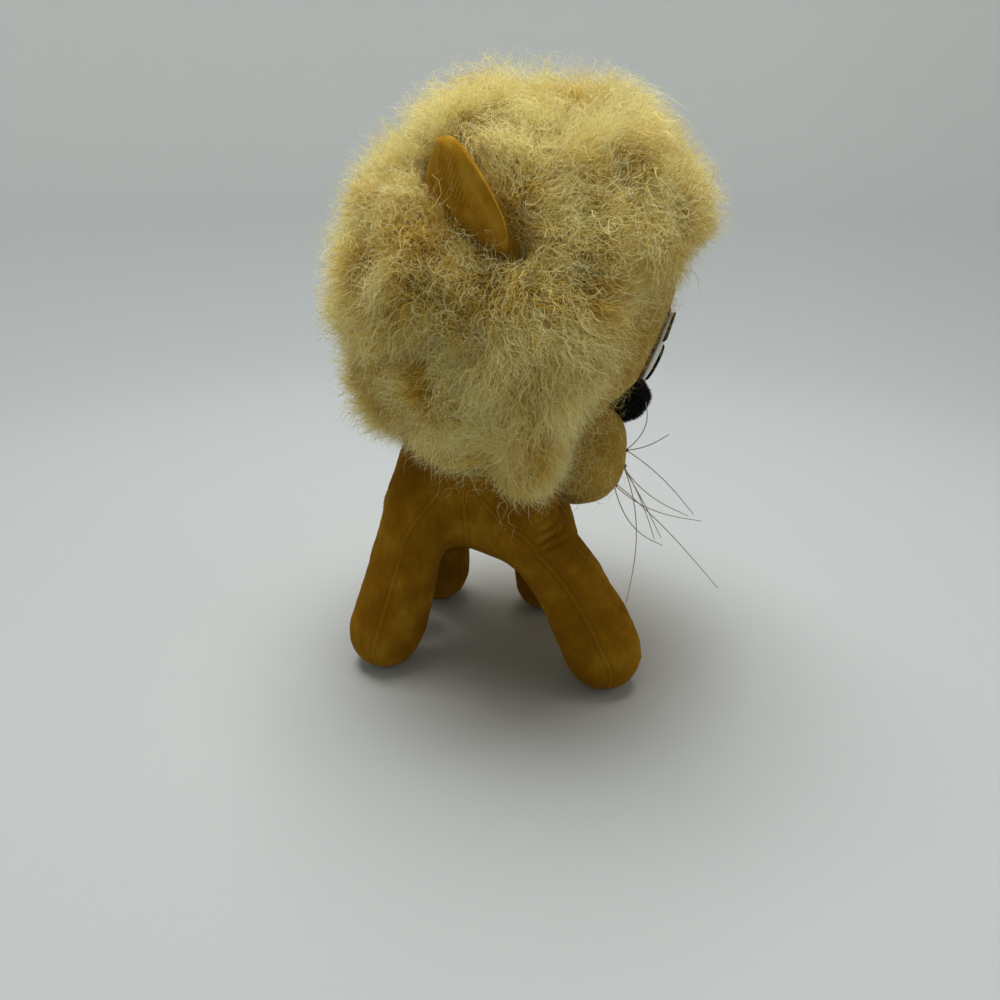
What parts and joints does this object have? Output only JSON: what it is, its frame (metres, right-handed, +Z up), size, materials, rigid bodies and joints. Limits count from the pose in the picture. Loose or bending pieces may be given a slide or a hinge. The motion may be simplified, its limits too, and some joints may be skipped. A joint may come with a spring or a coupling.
{
  "type": "plush lion",
  "caption": "Soft toy lion with a big fluffy round mane hiding its ears' roots, a turning head, a pouch muzzle with wiry whiskers and smooth velveteen legs in a walking stance.",
  "frame": {"origin": "middle of the outline on the floor the feet stand on", "axes": "+Z up, -Y the way the body faces, +X the lion's left side"},
  "size_m": [0.1106, 0.122, 0.174],
  "materials": {
    "body_velveteen": "golden-brown cotton velveteen with a short soft nap",
    "face_velveteen": "tan cotton velveteen, slightly worn",
    "ear_velveteen": "ochre velveteen with fine gathers",
    "pile": "long curly straw-yellow pile with cream tips",
    "nose_velvet": "black short-pile cloth",
    "brown_felt": "brown felt",
    "white_felt": "off-white felt",
    "black_felt": "black felt",
    "whisker_nylon": "stiff clear grey-brown monofilament",
    "fibreboard": "plain pressed fibreboard",
    "neck_steel": "plain bright steel"
  },
  "bodies": {
    "body": {"torso": "body_velveteen", "front_right_leg": "body_velveteen", "front_left_leg": "body_velveteen", "hind_right_leg": "body_velveteen", "hind_left_leg": "body_velveteen", "neck_pin": "neck_steel", "lower_neck_disc": "fibreboard", "lower_neck_washer": "neck_steel"},
    "tail": {"tail": "body_velveteen", "tail_tuft": "pile"},
    "head": {"head": "face_velveteen", "muzzle": "face_velveteen", "nose": "nose_velvet", "mane": "pile", "upper_neck_disc": "fibreboard", "upper_neck_washer": "neck_steel", "right_ear_back": "ear_velveteen", "right_ear_lining": "ear_velveteen", "right_eye_rim": "brown_felt", "right_eye_white": "white_felt", "right_eyelid": "brown_felt", "right_pupil": "black_felt", "right_whiskers_upper": "whisker_nylon", "right_whiskers_middle": "whisker_nylon", "right_whiskers_lower": "whisker_nylon", "left_ear_back": "ear_velveteen", "left_ear_lining": "ear_velveteen", "left_eye_rim": "brown_felt", "left_eye_white": "white_felt", "left_eyelid": "brown_felt", "left_pupil": "black_felt", "left_whiskers_upper": "whisker_nylon", "left_whiskers_middle": "whisker_nylon", "left_whiskers_lower": "whisker_nylon"}
  },
  "joints": [
    {"name": "head_turn", "type": "hinge", "parent": "body", "child": "head", "pos_m": [0.0004, 0.01516, 0.0803], "axis": [0, 0, 1], "range_deg": [-25, 25]},
    {"name": "tail_lift", "type": "hinge", "parent": "body", "child": "tail", "pos_m": [0.0004, 0.04756, 0.056], "axis": [1, 0, 0], "range_deg": [0, 75]}
  ]
}
